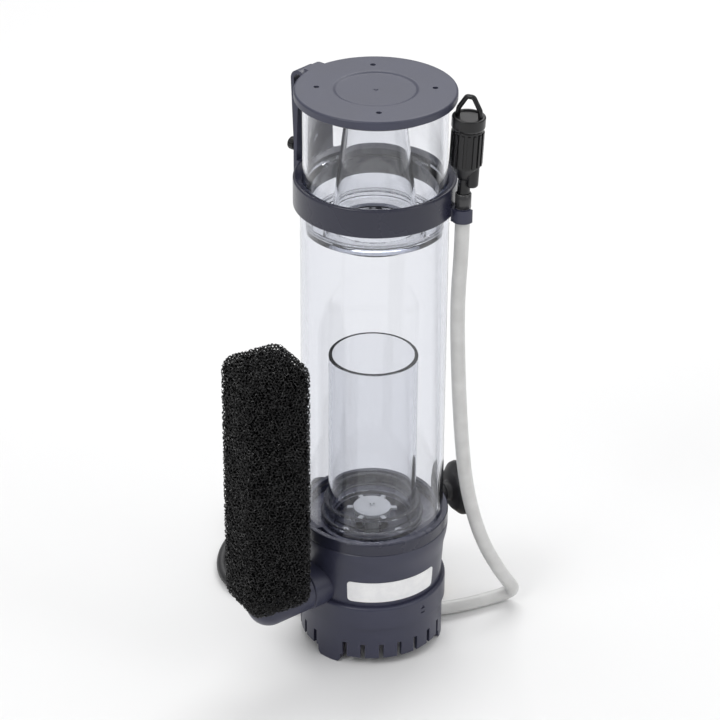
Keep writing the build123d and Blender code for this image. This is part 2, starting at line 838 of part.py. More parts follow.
screw_tip = arm_tip - 0.4
knob_face = arm_tip + bracket_gauge + clamp_travel + 0.8
with BuildPart() as thumb_screw:
    revolve(
        profile(
            (0, screw_tip),
            (clamp_radius, screw_tip, 0.4),
            (clamp_radius, knob_face),
            (knob_radius, knob_face, 0.5),
            (knob_radius, knob_face + knob_length, 0.8),
            (0, knob_face + knob_length),
            plane=clamp_plane,
        ),
        axis=clamp_axis,
    )
    knob_plane = Plane(origin=outward(bracket_azimuth, knob_face, clamp_height),
                       z_dir=outward(bracket_azimuth))
    with BuildSketch(knob_plane):
        with PolarLocations(knob_radius + 0.35, 10):
            Circle(0.7)
    extrude(amount=knob_length, mode=Mode.SUBTRACT)
save("thumb_screw", thumb_screw)

# ---- Suction cup ------------------------------------------------------------------------------
sucker_axis = Axis(outward(sucker_azimuth, 0, sucker_height), outward(sucker_azimuth))
sucker_plane = section((0, 0, sucker_height), outward(sucker_azimuth), (0, 0, 1))
with BuildPart() as suction_cup_holder:
    revolve(
        profile((0, seat_radius - 3), (peg_radius, seat_radius - 3), (peg_radius, peg_reach),
                (2.2, peg_reach), (2.2, peg_reach + 2), (3.0, peg_reach + 2.6, 0.4),
                (3.0, peg_reach + 4, 0.8), (0, peg_reach + 4), plane=sucker_plane),
        axis=sucker_axis,
    )
    revolve(pipe_profile(0, seat_radius, 0, collar_top), mode=Mode.SUBTRACT)
save("suction_cup_holder", suction_cup_holder)

with BuildPart() as suction_cup:
    revolve(
        profile(
            (3.0, peg_reach), (5.4, peg_reach, 0.6), (5.4, peg_reach + 3.2, 1.5),
            (11.5, peg_reach + 4.4, 3.0), (sucker_radius - 0.4, sucker_face - 2.4, 1.5),
            (sucker_radius, sucker_face, 0.2),
            (sucker_radius - 1.1, sucker_face, 0.2), (9.0, peg_reach + 6.4, 5.0),
            (0, peg_reach + 5.8), (0, peg_reach + 4), (3.0, peg_reach + 4),
            plane=sucker_plane,
        ),
        axis=sucker_axis,
    )
save("suction_cup", suction_cup)

# ---- Label ------------------------------------------------------------------------------------
label_low, label_high = skirt_top + 3.3, skirt_top + 16.6
label_from, label_to = -19.5, 57.5
label_gauge = 0.25
waist_slope = (waist_top_radius - waist_radius) / (waist_top - skirt_top)


def waist_at(height):
    """The waist's outer radius at a height."""
    return waist_radius + waist_slope * (height - skirt_top)


with BuildPart() as rating_label:
    label_face = profile(
        (waist_at(label_low), label_low), (waist_at(label_low) + label_gauge, label_low),
        (waist_at(label_high) + label_gauge, label_high), (waist_at(label_high), label_high),
        plane=section((0, 0, 0), (0, 0, 1), outward(label_from)),
    )
    revolve(label_face, axis=Axis.Z, revolution_arc=label_to - label_from)
    fillet(rating_label.edges().filter_by(GeomType.LINE).filter_by(
        lambda edge: edge.length < 2 * label_gauge), 2.2)
save("rating_label", rating_label)

# ---- Hose clip and silencer -------------------------------------------------------------------
hose_point = outward(hose_azimuth, hose_offset)
clip_outer = hose_radius + clip_wall
with BuildPart() as hose_clip:
    with BuildSketch(Plane.XY.offset(clip_bottom)):
        with Locations(hose_point):
            Circle(clip_outer)
        with Locations(Location(outward(hose_azimuth, (collar_radius + hose_offset) / 2),
                                hose_azimuth)):
            Rectangle(7.5, hose_offset - collar_radius + 2)
        with Locations(hose_point):
            Circle(hose_radius, mode=Mode.SUBTRACT)
    extrude(amount=clip_height)
    with BuildSketch(Plane.XY.offset(clip_bottom)):
        mouth = math.radians(clip_mouth / 2)
        reach = clip_outer + 2
        with Locations(Location(hose_point, hose_azimuth + clip_turn - 90)):
            Polygon((0, 0), (reach, reach * math.tan(mouth)), (reach, -reach * math.tan(mouth)),
                    align=None)
    extrude(amount=clip_height, mode=Mode.SUBTRACT)
    revolve(pipe_profile(0, collar_radius, clip_bottom - 5, collar_top), mode=Mode.SUBTRACT)
save("hose_clip", hose_clip)

tilt = math.radians(silencer_tilt)
silencer_dir = outward(hose_azimuth) * math.sin(tilt) + Vector(0, 0, math.cos(tilt))
silencer_across = outward(hose_azimuth) * math.cos(tilt) - Vector(0, 0, math.sin(tilt))
silencer_foot = outward(hose_azimuth, hose_offset, hose_top)
silencer_section = section(silencer_foot, silencer_dir, silencer_across)
silencer_axis = Axis(silencer_foot, silencer_dir)


def across_silencer(distance):
    """A plane square to the silencer's axis, a distance up it, local X away from the tube."""
    return Plane(origin=silencer_foot + silencer_dir * distance, x_dir=silencer_across,
                 z_dir=silencer_dir)


body_start = stem_length + silencer_taper
lobe_foot = silencer_foot + silencer_across.rotate(silencer_axis, -lobe_turn) * lobe_offset
bore_radius = silencer_radius - silencer_wall
with BuildPart() as silencer_body:
    revolve(
        profile(
            (1.4, 0), (stem_radius, 0), (stem_radius, stem_length - 1.5, 1.0),
            (stem_radius + 1.2, stem_length, 0.8), (silencer_radius, body_start, 2.0),
            (silencer_radius, silencer_length, 0.4), (bore_radius, silencer_length),
            (bore_radius, body_start + 1.5), (1.4, stem_length + 2),
            plane=silencer_section,
        ),
        axis=silencer_axis,
    )
    with BuildSketch(across_silencer(body_start + 0.8)):
        with PolarLocations(silencer_radius, rib_count):
            Rectangle(2 * rib_height, rib_width)
    extrude(amount=silencer_length - body_start - 2.2)
    revolve(pipe_profile(0, lobe_radius, stem_length - 5, body_start + 4, 1.6,
                         plane=section(lobe_foot, silencer_dir, silencer_across)),
            axis=Axis(lobe_foot, silencer_dir))
    revolve(pipe_profile(0, bore_radius, body_start + 1.5, silencer_length + 1,
                         plane=silencer_section), axis=silencer_axis, mode=Mode.SUBTRACT)
    revolve(pipe_profile(0, 1.4, -1, body_start + 2, plane=silencer_section),
            axis=silencer_axis, mode=Mode.SUBTRACT)
save("silencer_body", silencer_body)

felt_top = silencer_length - 5
with BuildPart() as silencer_felt:
    revolve(pipe_profile(0, bore_radius - slip, body_start + 1.5, felt_top, 0.5,
                         plane=silencer_section), axis=silencer_axis)
save("silencer_felt", silencer_felt)

cap_bottom = silencer_length + clear
cap_top = cap_bottom + silencer_cap_height
with BuildPart() as silencer_cap:
    revolve(
        profile(
            (0, felt_top + 1), (bore_radius - running, felt_top + 1, 0.4),
            (bore_radius - running, cap_bottom), (silencer_cap_radius - 0.6, cap_bottom),
            (silencer_cap_radius, cap_bottom + 1.2, 0.4), (silencer_cap_radius, cap_top, 0.8),
            (silencer_cap_radius - 1.6, cap_top, 0.3), (silencer_cap_radius - 1.9, cap_top - 0.9),
            (0, cap_top - 0.9),
            plane=silencer_section,
        ),
        axis=silencer_axis,
    )
    half, rise = loop_width / 2, cap_top + loop_height - loop_bar
    with BuildLine(silencer_section) as loop_path:
        FilletPolyline((-half, cap_top - 2), (-half + 0.6, cap_top + 3.5), (-1.8, rise),
                       (1.8, rise), (half - 0.6, cap_top + 3.5), (half, cap_top - 2),
                       radius=[4, 1.7, 1.7, 4])
    loop_line = loop_path.wire()
    with BuildSketch(Plane(origin=loop_line @ 0, z_dir=loop_line % 0)):
        Circle(loop_bar)
    sweep(path=loop_line)
save("silencer_cap", silencer_cap)

# ---- Outlet elbow, riser pipe and foam block ----------------------------------------------------
elbow_centre = outward(outlet_azimuth, elbow_reach, outlet_height)
elbow_top = outlet_height + elbow_radius
with BuildPart() as outlet_elbow:
    revolve(pipe_profile(0, elbow_radius, boss_reach + clear, elbow_reach, 0, outlet_plane),
            axis=outlet_axis)
    with Locations(elbow_centre):
        Sphere(elbow_radius)
    with BuildSketch(Plane.XY.offset(outlet_height)):
        with Locations(elbow_centre):
            Circle(riser_radius + 2)
    extrude(amount=elbow_radius + 1.5)
    revolve(pipe_profile(0, outlet_spigot_radius + running, boss_reach - 1,
                         outlet_spigot_reach + clear, plane=outlet_plane),
            axis=outlet_axis, mode=Mode.SUBTRACT)
    revolve(pipe_profile(0, outlet_bore, boss_reach, elbow_reach, plane=outlet_plane),
            axis=outlet_axis, mode=Mode.SUBTRACT)
    with BuildSketch(Plane.XY.offset(outlet_height - 2)):
        with Locations(elbow_centre):
            Circle(outlet_bore)
    extrude(amount=elbow_radius + 10, mode=Mode.SUBTRACT)
    with BuildSketch(Plane.XY.offset(outlet_height + 5)):
        with Locations(elbow_centre):
            Circle(riser_radius)
    extrude(amount=elbow_radius, mode=Mode.SUBTRACT)
save("outlet_elbow", outlet_elbow)

riser_bottom = outlet_height + 5
with BuildPart() as outlet_riser:
    with BuildSketch(Plane.XY.offset(riser_bottom)):
        with Locations(elbow_centre):
            Circle(riser_radius)
            Circle(riser_radius - riser_wall, mode=Mode.SUBTRACT)
    extrude(amount=riser_top - riser_bottom)
    with BuildSketch(Plane.XY.offset(riser_top - 2)):
        with Locations(elbow_centre):
            Circle(riser_radius)
    extrude(amount=2)
    for level in range(6):
        height = riser_bottom + 24 + level * 15
        for turn in (0, 90):
            hole_plane = Plane(origin=elbow_centre + Vector(0, 0, height - outlet_height),
                               z_dir=outward(outlet_azimuth + turn + 45))
            with BuildSketch(hole_plane):
                Circle(riser_hole / 2)
            extrude(amount=riser_radius + 2, both=True, mode=Mode.SUBTRACT)
save("outlet_riser", outlet_riser)

sponge_plane = Plane(origin=(elbow_centre.X, elbow_centre.Y, sponge_bottom),
                     x_dir=outward(sponge_azimuth), z_dir=(0, 0, 1))
sponge_gap = clear + 0.2
with BuildPart() as sponge:
    with BuildSketch(sponge_plane):
        RectangleRounded(sponge_side, sponge_side, sponge_rounding)
    extrude(amount=sponge_top - sponge_bottom)
    fillet(sponge.faces().sort_by(Axis.Z)[-1].edges(), sponge_rounding - 0.5)
    fillet(sponge.faces().sort_by(Axis.Z)[0].edges(), sponge_rounding / 2)
    with BuildSketch(sponge_plane):
        Circle(riser_radius + sponge_gap)
    extrude(amount=riser_top + 1 - sponge_bottom, mode=Mode.SUBTRACT)
    with BuildSketch(sponge_plane):
        Circle(elbow_radius + sponge_gap)
        with Locations(Location((0, 0), outlet_azimuth + 180 - sponge_azimuth)):
            Rectangle(2 * sponge_side, 2 * (elbow_radius + sponge_gap),
                      align=(Align.MIN, Align.CENTER))
    extrude(amount=elbow_top + 1.5 + sponge_gap - sponge_bottom, mode=Mode.SUBTRACT)
save("sponge", sponge)

# ---- Air inlet and hose -------------------------------------------------------------------------
air_plane = section((0, 0, air_inlet_height), outward(air_inlet_azimuth), (0, 0, 1))
air_axis = Axis((0, 0, air_inlet_height), outward(air_inlet_azimuth))
with BuildPart() as air_inlet:
    revolve(pipe_profile(0, hose_radius, air_inlet_reach - 9, air_inlet_reach, 0.4,
                         plane=air_plane), axis=air_axis)
    with BuildSketch(Plane.XY.offset(air_inlet_height - hose_radius)):
        with Locations(outward(air_inlet_azimuth, air_inlet_reach - 9)):
            Circle(hose_radius)
    extrude(amount=grid_height - air_inlet_height + hose_radius)
save("air_inlet", air_inlet)

hose_end = outward(air_inlet_azimuth, air_inlet_reach, air_inlet_height)
hose_line = cord_path("air_hose", hose_route + [tuple(hose_end)], hose_radius)
with BuildPart() as air_hose:
    with BuildSketch(Plane(origin=hose_line @ 0, z_dir=hose_line % 0)):
        Circle(hose_radius)
    sweep(path=hose_line)
save("air_hose", air_hose)
print("air_hose volume ratio", air_hose.part.volume / (math.pi * hose_radius**2 * hose_line.length))

# ---- Mains lead -----------------------------------------------------------------------------------
gland_plane = section((0, 0, gland_height), outward(gland_azimuth), (0, 0, 1))
gland_axis = Axis((0, 0, gland_height), outward(gland_azimuth))
with BuildPart() as cord_gland:
    revolve(
        profile((0, gland_start - 2), (gland_root_radius, gland_start - 2, 1.0),
                (gland_root_radius, gland_start + 4), (gland_tip_radius, gland_reach),
                (0, gland_reach), plane=gland_plane),
        axis=gland_axis,
    )
    with BuildSketch(Plane.XY.offset(gland_height)):
        with Locations(outward(gland_azimuth, gland_start + 2)):
            Circle(gland_root_radius - 1)
    extrude(amount=grid_height - gland_height)
save("cord_gland", cord_gland)


def cord_tube(name, route):
    """The plain solid of one free stretch of the mains lead."""
    line = cord_path(name, route, cord_radius)
    with BuildPart() as tube:
        with BuildSketch(Plane(origin=line @ 0, z_dir=line % 0)):
            Circle(cord_radius)
        sweep(path=line)
    save(name, tube)
    print(name, "volume ratio", tube.part.volume / (math.pi * cord_radius**2 * line.length))


cord_tube("power_cord", cord_route)
cord_tube("cord_tail", tail_route)

coil_half_width = coil_turns_across * cord_radius
coil_height = coil_layers * 2 * cord_radius + 0.1
print("coil length", round(2 * math.pi * coil_mean_radius * coil_turns))
coil_spot = Vector(*coil_centre, 0)
tie_azimuth = 160.0
tie_wall = 1.4
tie_width = 6.0
coil_inner = coil_mean_radius - coil_half_width
coil_outer = coil_mean_radius + coil_half_width
tie_plane = facing(tie_azimuth, coil_mean_radius, coil_height / 2 + 0.05).move(Location(coil_spot))
with BuildPart() as cord_coil:
    coil_section = Plane(origin=coil_spot, x_dir=(1, 0, 0), z_dir=(0, -1, 0))
    revolve(
        profile((coil_inner, 0.1, 2.0), (coil_outer, 0.1, 2.0), (coil_outer, coil_height, 2.5),
                (coil_inner, coil_height, 2.5), plane=coil_section),
        axis=Axis(coil_spot, (0, 0, 1)),
    )
save("cord_coil", cord_coil)

with BuildPart() as cord_tie:
    along = Vector(0, 0, 1).cross(outward(tie_azimuth))
    tie_spot = coil_spot + outward(tie_azimuth, coil_mean_radius, coil_height)
    with BuildSketch(Plane(origin=tie_spot, x_dir=outward(tie_azimuth), z_dir=(0, 0, 1))):
        Rectangle(2 * coil_half_width - 4, tie_width)
    extrude(amount=tie_wall)
    fillet(cord_tie.edges().filter_by(Axis.Z), 1.5)
save("cord_tie", cord_tie)

plug_start = Vector(*tail_route[-1])
tail_step = Vector(*tail_route[-1]) - Vector(*tail_route[-2])
plug_dir = tail_step.normalized()
plug_flat = Vector(plug_dir.X, plug_dir.Y, 0).normalized()
plug_side = Vector(0, 0, 1).cross(plug_flat)
plug_spot = Vector(plug_start.X, plug_start.Y, 0) + plug_flat * plug_relief
with BuildPart() as plug_body:
    with BuildSketch(Plane(origin=plug_spot + Vector(0, 0, plug_height / 2), x_dir=plug_side,
                           z_dir=plug_flat)):
        RectangleRounded(pin_spacing + plug_width, plug_height, 4)
    extrude(amount=plug_length)
    with BuildSketch(Plane(origin=plug_start, x_dir=plug_side, z_dir=plug_dir)):
        Circle(cord_radius + 0.9)
    with BuildSketch(Plane(origin=plug_spot + Vector(0, 0, plug_height / 2), x_dir=plug_side,
                           z_dir=plug_flat)):
        Circle(5.2)
    loft()
save("plug_body", plug_body)

with BuildPart() as plug_pins:
    with BuildSketch(Plane(origin=plug_spot + plug_flat * plug_length
                           + Vector(0, 0, plug_height / 2), x_dir=plug_side, z_dir=plug_flat)):
        with Locations((-pin_spacing / 2, 0), (pin_spacing / 2, 0)):
            Circle(plug_pin_radius)
    extrude(amount=plug_pin_length)
save("plug_pins", plug_pins)
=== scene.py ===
"""The look of the protein skimmer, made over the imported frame. Metres, +Z up.

The clear tubes and the moulded parts are the frame's own pieces with finished materials. The
foam block, the air hose with its dark end, the wound lead and its tie are built here. Azimuths
are measured from the front (-Y) towards +X."""

import math

import bpy
import numpy as np
from mathutils import Matrix, Vector


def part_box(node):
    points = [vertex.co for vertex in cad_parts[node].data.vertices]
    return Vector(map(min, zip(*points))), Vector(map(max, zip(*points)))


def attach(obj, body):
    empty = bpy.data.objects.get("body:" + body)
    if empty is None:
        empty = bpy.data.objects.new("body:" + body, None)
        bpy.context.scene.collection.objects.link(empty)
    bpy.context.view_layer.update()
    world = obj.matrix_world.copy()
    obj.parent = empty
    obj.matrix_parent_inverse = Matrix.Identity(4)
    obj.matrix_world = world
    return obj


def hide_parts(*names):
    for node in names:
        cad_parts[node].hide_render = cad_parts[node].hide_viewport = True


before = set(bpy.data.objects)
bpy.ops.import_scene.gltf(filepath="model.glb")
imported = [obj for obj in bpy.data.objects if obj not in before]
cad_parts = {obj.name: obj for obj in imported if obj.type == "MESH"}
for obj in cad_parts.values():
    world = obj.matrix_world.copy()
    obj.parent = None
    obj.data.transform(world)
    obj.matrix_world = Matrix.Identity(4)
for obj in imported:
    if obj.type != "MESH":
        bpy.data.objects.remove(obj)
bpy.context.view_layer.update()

# ---- Sizes and places -----------------------------------------------------------------------
camera_place = (-0.00164, -1.29474, 0.90679)
camera_forward = (-0.003843, 0.871060, -0.491162)
camera_right = (0.999955, 0.007620, 0.005690)
camera_lens = 135.33
camera_sensor = 36.0

hose_diameter = 0.008
hose_route = [
    (0.04633, -0.01595, 0.2870),
    (0.04633, -0.01595, 0.2560),
    (0.0446, -0.0153, 0.2210),
    (0.0462, -0.0130, 0.1780),
    (0.0488, -0.0090, 0.1370),
    (0.0520, -0.0038, 0.1040),
    (0.0570, 0.0022, 0.0770),
    (0.0640, 0.0090, 0.0520),
    (0.0723, 0.0153, 0.0324),
    (0.0792, 0.0203, 0.0186),
    (0.0836, 0.0246, 0.0102),
    (0.0806, 0.0276, 0.0052),
    (0.0718, 0.0238, 0.0041),
    (0.0565, 0.0166, 0.0041),
    (0.0417, 0.0110, 0.0047),
    (0.0292, 0.0067, 0.0065),
]

barb_bottom = 0.2785
barb_clearance = 0.0003

cord_diameter = 0.006
cord_route = [
    (-0.0344, 0.01355, 0.0054),
    (-0.0535, 0.0210, 0.0034),
    (-0.0740, 0.0270, 0.0031),
    (-0.0862, 0.0400, 0.0031),
    (-0.0905, 0.0575, 0.0031),
    (-0.0885, 0.0770, 0.0031),
]
tail_route = [
    (-0.0031, 0.1194, 0.0091),
    (0.0033, 0.1117, 0.0088),
    (0.0086, 0.1030, 0.0080),
    (0.0124, 0.0937, 0.0070),
]
coil_centre = Vector((-0.042, 0.105, 0.0))
coil_radii = (0.039, 0.033, 0.027)
coil_start = math.radians(192.0)
coil_end = math.radians(30.0)
points_per_turn = 16
crossover = 0.2  # share of a turn in which the lead moves over to the next one
first_layer = 0.52  # height of the lower layer's middle, in cord diameters
tie_azimuth = 160.0
tie_width = 0.006
tie_gauge = 0.0012

sponge_side = 0.0400
sponge_azimuth = 31.0
sponge_rounding = 0.009
riser_gap_radius = 0.0096
recess_radius = 0.0132
recess_height = 0.0108
outlet_azimuth = -50.7
foam_cell = 0.0023
foam_depth = 0.0028
deep_foam = 0.006
core_gap = 0.003  # between the hollow over the elbow and the core
foam_bands = 5
core_shoulder = 0.006
core_inset = 0.9  # share of the foam's depth at which the core begins
core_sides = 48
core_squareness = 9  # power of the rounded square that is the core's section
strut_radius = 0.00017
warp_length = 0.019  # of the slow waves that keep the foam's cells from lining up

horizon = (0.16, 0.16, 0.18)
zenith = (1.0, 1.0, 1.0)
sky_strength = 0.76


def outward(azimuth):
    """The unit vector away from the tube's axis at an azimuth."""
    angle = math.radians(azimuth)
    return Vector((math.sin(angle), -math.cos(angle), 0))


# ---- Camera ---------------------------------------------------------------------------------
def make_camera():
    """The camera at the photograph's angle."""
    data = bpy.data.cameras.new("camera")
    data.lens = camera_lens
    data.sensor_width = camera_sensor
    data.clip_end = 50
    camera = bpy.data.objects.new("camera", data)
    bpy.context.collection.objects.link(camera)
    forward = Vector(camera_forward).normalized()
    right = Vector(camera_right).normalized()
    up = right.cross(forward)
    turn = Matrix((right, up, -forward)).transposed()
    camera.matrix_world = Matrix.Translation(camera_place) @ turn.to_4x4()
    bpy.context.scene.camera = camera


make_camera()


# ---- Material helpers -----------------------------------------------------------------------
def new_material(name):
    """An empty material, its node tree, its shader and its output."""
    material = bpy.data.materials.new(name)
    material.use_nodes = True
    nodes = material.node_tree.nodes
    return material, material.node_tree, nodes["Principled BSDF"], nodes["Material Output"]


def object_noise(tree, scale, detail=3.0, roughness=0.55):
    """A noise texture in the object's own metres."""
    place = tree.nodes.new("ShaderNodeTexCoord")
    noise = tree.nodes.new("ShaderNodeTexNoise")
    noise.inputs["Scale"].default_value = scale
    noise.inputs["Detail"].default_value = detail
    noise.inputs["Roughness"].default_value = roughness
    tree.links.new(place.outputs["Object"], noise.inputs["Vector"])
    return noise


def blend_colour(tree, factor, low, high, spread=(0.35, 0.65)):
    """A colour that varies between two as a texture does."""
    ramp = tree.nodes.new("ShaderNodeValToRGB")
    ramp.color_ramp.elements[0].position = spread[0]
    ramp.color_ramp.elements[1].position = spread[1]
    ramp.color_ramp.elements[0].color = (*low, 1)
    ramp.color_ramp.elements[1].color = (*high, 1)
    tree.links.new(factor, ramp.inputs["Fac"])
    return ramp.outputs["Color"]


def vary_roughness(tree, shader, factor, low, high):
    """Roughness that follows a texture between two values."""
    spread = tree.nodes.new("ShaderNodeMapRange")
    spread.inputs["To Min"].default_value = low
    spread.inputs["To Max"].default_value = high
    tree.links.new(factor, spread.inputs["Value"])
    tree.links.new(spread.outputs["Result"], shader.inputs["Roughness"])


def add_bump(tree, shader, height, strength, distance):
    """Fine relief from a texture."""
    bump = tree.nodes.new("ShaderNodeBump")
    bump.inputs["Strength"].default_value = strength
    bump.inputs["Distance"].default_value = distance
    tree.links.new(height, bump.inputs["Height"])
    tree.links.new(bump.outputs["Normal"], shader.inputs["Normal"])


def scaled(colour, factor):
    """A colour made lighter or darker."""
    return tuple(min(channel * factor, 1.0) for channel in colour)


def moulded_plastic(name, colour, roughness, grain=0.00004, grain_scale=2600, coat=0.0):
    """Moulded plastic: slight patchiness, a fine eroded grain and a soft gloss."""
    material, tree, shader, _ = new_material(name)
    cloud = object_noise(tree, 38, 4)
    tone = blend_colour(tree, cloud.outputs["Fac"], scaled(colour, 0.93), scaled(colour, 1.07))
    tree.links.new(tone, shader.inputs["Base Color"])
    vary_roughness(tree, shader, cloud.outputs["Fac"], roughness * 0.82, roughness * 1.2)
    fine = object_noise(tree, grain_scale, 2)
    add_bump(tree, shader, fine.outputs["Fac"], 0.35, grain)
    shader.inputs["IOR"].default_value = 1.5
    shader.inputs["Coat Weight"].default_value = coat
    shader.inputs["Coat Roughness"].default_value = 0.25
    return material


def clear_acrylic(name, tint, density):
    """Clear cast acrylic that darkens only where one looks along the wall."""
    material, tree, shader, output = new_material(name)
    shader.inputs["Base Color"].default_value = (1, 1, 1, 1)
    shader.inputs["Transmission Weight"].default_value = 1.0
    shader.inputs["IOR"].default_value = 1.45
    cloud = object_noise(tree, 22, 2)
    vary_roughness(tree, shader, cloud.outputs["Fac"], 0.0, 0.018)
    inside = tree.nodes.new("ShaderNodeVolumeAbsorption")
    inside.inputs["Color"].default_value = (*tint, 1)
    inside.inputs["Density"].default_value = density
    tree.links.new(inside.outputs["Volume"], output.inputs["Volume"])
    return material


def silicone():
    """Milky translucent hose."""
    material, tree, shader, _ = new_material("silicone_hose")
    cloud = object_noise(tree, 90, 3)
    tone = blend_colour(tree, cloud.outputs["Fac"], (0.60, 0.60, 0.59), (0.68, 0.68, 0.67))
    tree.links.new(tone, shader.inputs["Base Color"])
    vary_roughness(tree, shader, cloud.outputs["Fac"], 0.30, 0.42)
    shader.inputs["Subsurface Weight"].default_value = 0.35
    shader.inputs["Subsurface Radius"].default_value = (0.004, 0.004, 0.0038)
    shader.inputs["Subsurface Scale"].default_value = 0.6
    shader.inputs["Sheen Weight"].default_value = 0.15
    return material


def rubber(name, colour, roughness=0.5):
    """Matt rubber with a little bloom on it."""
    material, tree, shader, _ = new_material(name)
    cloud = object_noise(tree, 120, 4)
    tone = blend_colour(tree, cloud.outputs["Fac"], colour, scaled(colour, 1.6))
    tree.links.new(tone, shader.inputs["Base Color"])
    vary_roughness(tree, shader, cloud.outputs["Fac"], roughness * 0.8, roughness * 1.15)
    fine = object_noise(tree, 1800, 2)
    add_bump(tree, shader, fine.outputs["Fac"], 0.3, 0.00005)
    return material


def metal(name, colour, roughness, streak=900):
    """Turned or drawn metal."""
    material, tree, shader, _ = new_material(name)
    shader.inputs["Metallic"].default_value = 1.0
    cloud = object_noise(tree, streak, 3)
    tone = blend_colour(tree, cloud.outputs["Fac"], scaled(colour, 0.85), colour)
    tree.links.new(tone, shader.inputs["Base Color"])
    vary_roughness(tree, shader, cloud.outputs["Fac"], roughness * 0.7, roughness * 1.3)
    return material


def label_film():
    """White printed film with a faint mottle."""
    material, tree, shader, _ = new_material("label_film")
    cloud = object_noise(tree, 160, 3)
    tone = blend_colour(tree, cloud.outputs["Fac"], (0.86, 0.86, 0.87), (0.94, 0.94, 0.94))
    tree.links.new(tone, shader.inputs["Base Color"])
    vary_roughness(tree, shader, cloud.outputs["Fac"], 0.38, 0.5)
    fine = object_noise(tree, 900, 2)
    add_bump(tree, shader, fine.outputs["Fac"], 0.15, 0.00004)
    return material


def foam_black():
    """The skeleton of black reticulated foam: glossy little struts."""
    material, tree, shader, _ = new_material("foam_skeleton")
    cloud = object_noise(tree, 60, 3)
    tone = blend_colour(tree, cloud.outputs["Fac"], (0.0015, 0.0015, 0.0017),
                        (0.005, 0.005, 0.0055))
    tree.links.new(tone, shader.inputs["Base Color"])
    vary_roughness(tree, shader, cloud.outputs["Fac"], 0.24, 0.42)
    return material


def foam_inside():
    """The unlit depth of the foam."""
    material, _, shader, _ = new_material("foam_inside")
    shader.inputs["Base Color"].default_value = (0.0015, 0.0015, 0.0017, 1)
    shader.inputs["Roughness"].default_value = 1.0
    shader.inputs["Specular IOR Level"].default_value = 0.0
    return material


def felt():
    """Grey needled felt."""
    material, tree, shader, _ = new_material("felt")
    fibre = object_noise(tree, 1400, 5)
    tone = blend_colour(tree, fibre.outputs["Fac"], (0.16, 0.16, 0.17), (0.42, 0.42, 0.43))
    tree.links.new(tone, shader.inputs["Base Color"])
    shader.inputs["Roughness"].default_value = 0.95
    shader.inputs["Sheen Weight"].default_value = 0.3
    add_bump(tree, shader, fibre.outputs["Fac"], 0.7, 0.0003)
    return material


slate = (0.036, 0.038, 0.068)
materials = {
    "slate": moulded_plastic("slate_plastic", slate, 0.36),
    # A darker, glossier copy of the slate plastic: painted shade for the tube seat ring down
    # inside the tube, where the lights reach less; the top collar and the pump chamber wear it
    # too.
    "slate_dark_painted_shade": moulded_plastic("slate_plastic_dark_painted_shade", scaled(slate, 0.66), 0.27),
    "lid": moulded_plastic("lid_plastic", (0.050, 0.053, 0.084), 0.44, grain=0.00006),
    "acrylic": clear_acrylic("clear_acrylic", (0.62, 0.65, 0.74), 88),
    "acrylic_thin": clear_acrylic("clear_acrylic_thin", (0.62, 0.65, 0.74), 100),
    "gasket": clear_acrylic("clear_gasket", (0.55, 0.57, 0.62), 300),
    "rubber": rubber("black_rubber", (0.010, 0.010, 0.011)),
    "lead": rubber("lead_jacket", (0.012, 0.012, 0.013), 0.42),
    "black": moulded_plastic("black_plastic", (0.005, 0.005, 0.006), 0.30),
    "foam": foam_black(),
    "foam_core": foam_inside(),
    "silicone": silicone(),
    "label": label_film(),
    "steel": metal("stainless", (0.62, 0.62, 0.63), 0.25),
    "copper": metal("enamelled_copper", (0.70, 0.30, 0.14), 0.35),
    "iron": metal("core_iron", (0.30, 0.30, 0.31), 0.5),
    "brass": metal("plated_brass", (0.75, 0.58, 0.30), 0.25),
    "ceramic": moulded_plastic("ceramic", (0.72, 0.71, 0.66), 0.25),
    "magnet": moulded_plastic("ferrite", (0.030, 0.030, 0.033), 0.45),
    # The white pin wheel painted grey: painted shade for the dim inside of the tube.
    "white_painted_shade": moulded_plastic("white_plastic", (0.33, 0.34, 0.36), 0.35),
    "felt": felt(),
    "barb": moulded_plastic("dark_hose_end", (0.045, 0.045, 0.047), 0.22),
}

node_looks = {
    "slate": ("base_strainer", "lower_housing", "hose_clip", "hanger_bracket", "motor_case",
              "motor_end_cap", "outlet_elbow"),
    # The seat ring's darker slate is painted shade for the inside of the tube.
    "slate_dark_painted_shade": ("tube_seat_ring", "top_collar", "pump_chamber"),
    "lid": ("lid",),
    "acrylic": ("reaction_tube", "inner_tube_foot"),
    "acrylic_thin": ("inner_tube", "collection_cup", "foam_riser"),
    "gasket": ("cup_seal",),
    "rubber": ("tube_seal", "outlet_seal", "suction_cup", "suction_cup_holder", "cord_gland",
               "lower_bush"),
    "black": ("air_inlet", "silencer_body", "silencer_cap", "outlet_riser", "thumb_screw",
              "plug_body"),
    "label": ("rating_label",),
    "steel": ("bracket_screws", "pump_screws"),
    "copper": ("stator_coils",),
    "iron": ("stator_core",),
    "brass": ("plug_pins",),
    "ceramic": ("rotor_shaft",),
    "magnet": ("rotor_magnet",),
    # The pin wheel's grey is painted shade; the part itself is white.
    "white_painted_shade": ("pin_wheel",),
    "felt": ("silencer_felt",),
}


def dress_nodes():
    """Gives every shown node of the frame its finished material."""
    for look, names in node_looks.items():
        for name in names:
            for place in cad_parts[name].material_slots:
                place.material = materials[look]
            if look in ("acrylic", "acrylic_thin", "gasket"):
                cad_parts[name].visible_shadow = False


# ---- Mesh helpers ---------------------------------------------------------------------------
def mesh_piece(name, points, faces, look, body, slot, *nodes, smooth=True):
    """A mesh object from points and faces, finished and riding on a body."""
    mesh = bpy.data.meshes.new(name)
    mesh.from_pydata(points, [], faces)
    mesh.update()
    if smooth:
        mesh.shade_smooth()
    mesh.materials.append(materials[look])
    piece = bpy.data.objects.new(name, mesh)
    bpy.context.collection.objects.link(piece)
    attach(piece, body)
    if nodes:
        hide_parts(*nodes)
    return piece


